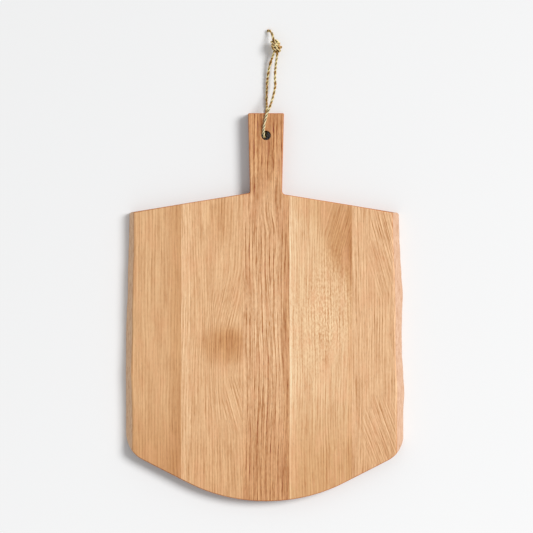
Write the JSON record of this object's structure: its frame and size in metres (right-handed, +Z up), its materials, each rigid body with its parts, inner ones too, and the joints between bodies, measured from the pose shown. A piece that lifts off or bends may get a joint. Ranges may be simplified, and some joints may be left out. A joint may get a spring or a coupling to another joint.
{
  "type": "pizza board",
  "caption": "Wooden pizza board of edge-glued oak staves, with a round nose, natural side edges, and a handle with a knotted twine loop for hanging.",
  "frame": {"origin": "under the middle of the wood, on the surface that the board lies on; the twine beyond the handle is left out of the middle", "axes": "+Y along the board towards the handle, +X across it to the right with the serving face up, +Z up out of the serving face"},
  "size_m": [0.384, 0.6483, 0.0229],
  "materials": {
    "outer_left_oak": "oiled, satin",
    "left_oak": "oiled, satin",
    "handle_oak": "oiled, satin",
    "right_oak": "oiled, satin",
    "outer_right_oak": "oiled, satin",
    "jute": "natural, hairy"
  },
  "bodies": {
    "root": {"outer_left_stave": "outer_left_oak", "left_stave": "left_oak", "handle_stave": "handle_oak", "right_stave": "right_oak", "outer_right_stave": "outer_right_oak", "twine_loop": "jute", "twine_knot": "jute", "twine_long_tail": "jute", "twine_short_tail": "jute"}
  },
  "joints": []
}
